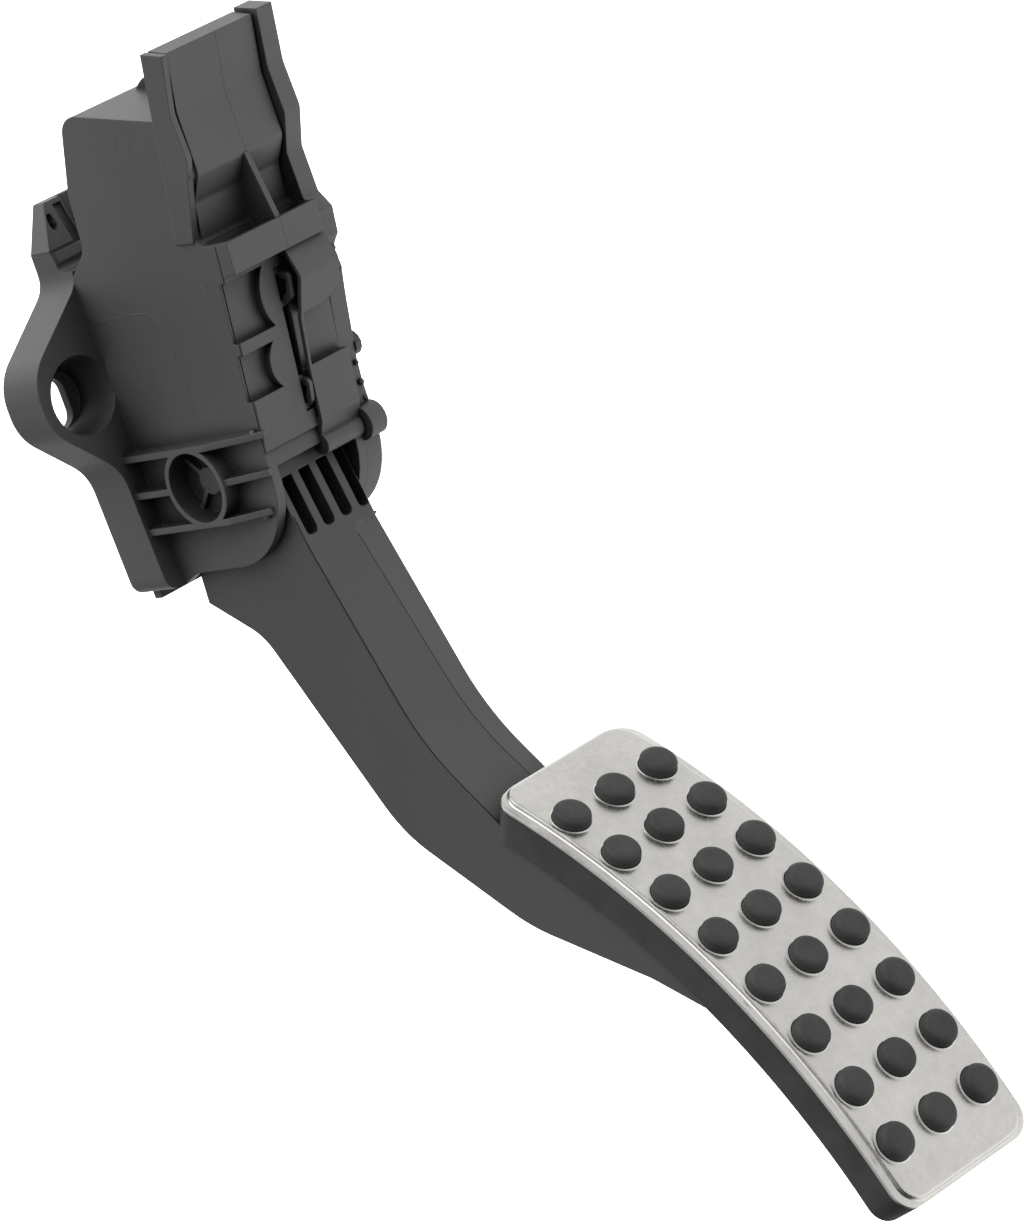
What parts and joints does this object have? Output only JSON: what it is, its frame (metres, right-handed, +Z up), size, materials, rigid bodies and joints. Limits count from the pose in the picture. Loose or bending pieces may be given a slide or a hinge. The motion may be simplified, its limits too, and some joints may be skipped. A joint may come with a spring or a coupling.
{
  "type": "accelerator pedal",
  "caption": "Hanging accelerator pedal: moulded sensor housing with two slotted ears, sprung arm and studded steel tread pad.",
  "frame": {"origin": "on the mounting face, at the middle between the two ears, in the housing's parting plane", "axes": "+X to the driver's right along the pivot shaft, +Y out of the mounting face towards the bulkhead, +Z up"},
  "size_m": [0.0824, 0.1827, 0.3145],
  "materials": {
    "housing_plastic": "fine grained moulded black plastic",
    "cover_plastic": "fine grained moulded black plastic",
    "arm_plastic": "fine grained moulded dark grey plastic",
    "pad_rubber": "matt black rubber",
    "tread_steel": "satin stainless sheet",
    "shaft_steel": "ground",
    "bush_plastic": "natural bearing plastic",
    "spring_steel": "drawn wire",
    "seat_plastic": "moulded plastic",
    "bumper_rubber": "soft rubber",
    "board_laminate": "lacquered circuit board",
    "chip_plastic": "chip casing",
    "pin_metal": "plated",
    "magnet_metal": "sintered",
    "screw_steel": "zinc plated"
  },
  "bodies": {
    "housing": {"housing_shell": "housing_plastic", "right_shell": "housing_plastic", "sensor_cover": "cover_plastic", "terminal_pins": "pin_metal", "sensor_board": "board_laminate", "hall_sensor": "chip_plastic", "pivot_shaft": "shaft_steel", "return_spring_outer": "spring_steel", "return_spring_inner": "spring_steel", "upper_spring_seat": "seat_plastic", "rest_bumper": "bumper_rubber", "full_travel_bumper": "bumper_rubber", "housing_screws": "screw_steel"},
    "pedal": {"pedal_arm": "arm_plastic", "rubber_pad": "pad_rubber", "tread_plate": "tread_steel", "pivot_bush_left": "bush_plastic", "pivot_bush_right": "bush_plastic", "magnet_carrier": "bush_plastic", "magnets": "magnet_metal", "lower_spring_seat": "seat_plastic"}
  },
  "joints": [
    {"name": "pedal_pivot", "type": "hinge", "parent": "housing", "child": "pedal", "pos_m": [0, -0.0365, -0.0289], "axis": [1, 0, 0], "range_deg": [0, 16], "stiffness_Nm_per_rad": 14, "springref_deg": -20.05, "deforming": ["return_spring_outer", "return_spring_inner"]}
  ]
}
